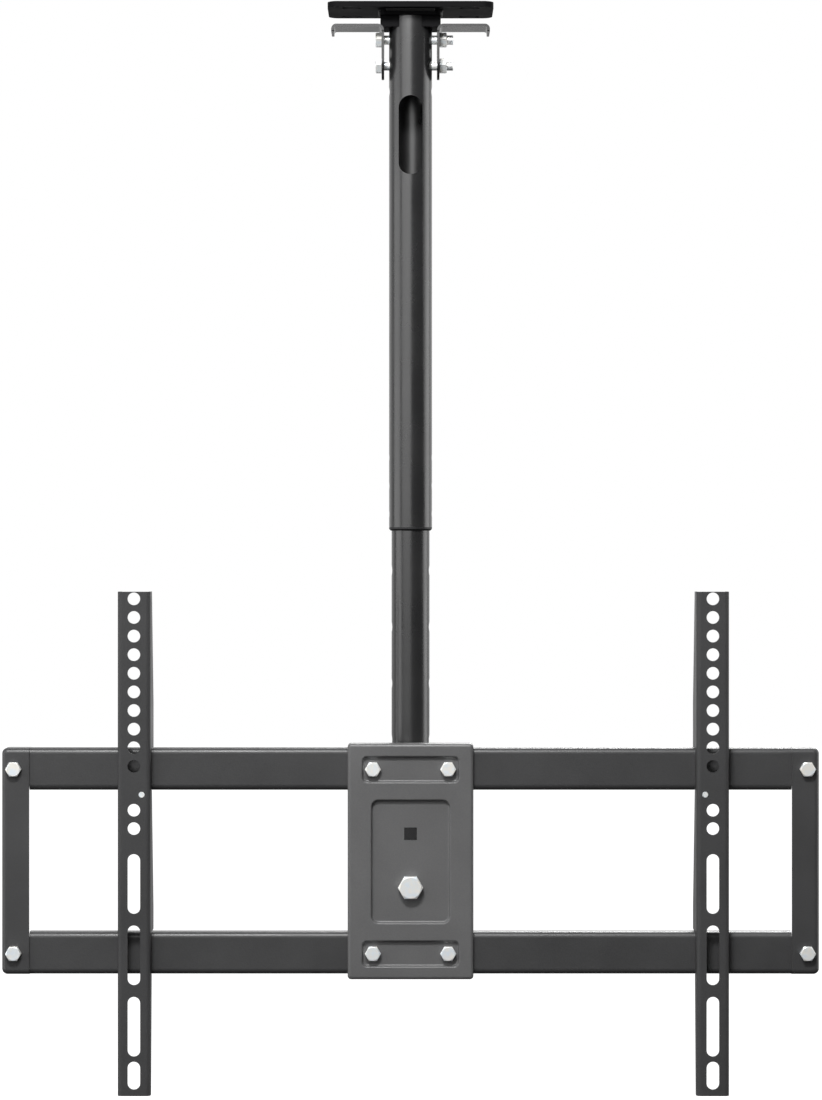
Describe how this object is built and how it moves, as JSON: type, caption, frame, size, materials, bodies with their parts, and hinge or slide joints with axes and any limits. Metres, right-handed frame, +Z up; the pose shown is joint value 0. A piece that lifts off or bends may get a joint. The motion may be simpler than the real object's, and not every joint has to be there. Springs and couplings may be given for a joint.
{
  "type": "ceiling tv mount",
  "caption": "Ceiling mount for a television: a slotted ceiling plate, a telescopic round pole, a tilting rail frame and hooked arms with holes and slots for the screen's bolts.",
  "frame": {"origin": "middle of the ceiling plate's top face, on the pole's axis", "axes": "+Z up into the ceiling along the pole, -Y towards the screen, +X to the right as seen from the screen side"},
  "size_m": [0.715, 0.0908, 0.957],
  "materials": {
    "black_coat": "satin powder coat",
    "dark_coat": "satin powder coat",
    "zinc": "bright zinc",
    "nylon": "matte"
  },
  "bodies": {
    "hanger": {"ceiling_plate": "black_coat", "neck_block": "black_coat", "hanger_left": "black_coat", "hanger_right": "black_coat", "hanger_bolts": "zinc", "hanger_nuts": "zinc", "outer_tube": "dark_coat", "lower_bush": "nylon", "lock_bosses": "dark_coat", "lock_screws": "zinc"},
    "slider": {"upper_bush": "nylon"},
    "pole": {"inner_tube": "dark_coat", "tilt_pivot_bolt": "zinc", "tilt_lock_bolt": "zinc", "tilt_nuts": "zinc", "tilt_washers": "zinc"},
    "frame": {"head_bracket": "black_coat", "centre_plate": "dark_coat", "centre_bolt": "zinc", "centre_nut": "zinc", "rail_upper": "dark_coat", "rail_lower": "dark_coat", "end_bracket_left": "dark_coat", "end_bracket_right": "dark_coat", "plate_bolts": "zinc", "plate_nuts": "zinc", "end_bolts": "zinc", "end_nuts": "zinc"},
    "left_arm": {"arm_left": "dark_coat", "safety_screw_left": "zinc", "safety_nut_left": "zinc"},
    "right_arm": {"arm_right": "dark_coat", "safety_screw_right": "zinc", "safety_nut_right": "zinc"}
  },
  "joints": [
    {"name": "height_slide", "type": "slide", "parent": "hanger", "child": "slider", "axis": [0, 0, 1], "range_m": [-0.15, 0.075]},
    {"name": "pole_swivel", "type": "hinge", "parent": "slider", "child": "pole", "pos_m": [0, 0, -0.45], "axis": [0, 0, 1], "range_deg": [-180, 180]},
    {"name": "tilt", "type": "hinge", "parent": "pole", "child": "frame", "pos_m": [0, 0, -0.6998], "axis": [1, 0, 0], "range_deg": [-5, 15]},
    {"name": "left_arm_slide", "type": "slide", "parent": "frame", "child": "left_arm", "axis": [1, 0, 0], "range_m": [-0.0765, 0.168]},
    {"name": "right_arm_slide", "type": "slide", "parent": "frame", "child": "right_arm", "axis": [1, 0, 0], "range_m": [-0.19, 0.0545]}
  ]
}
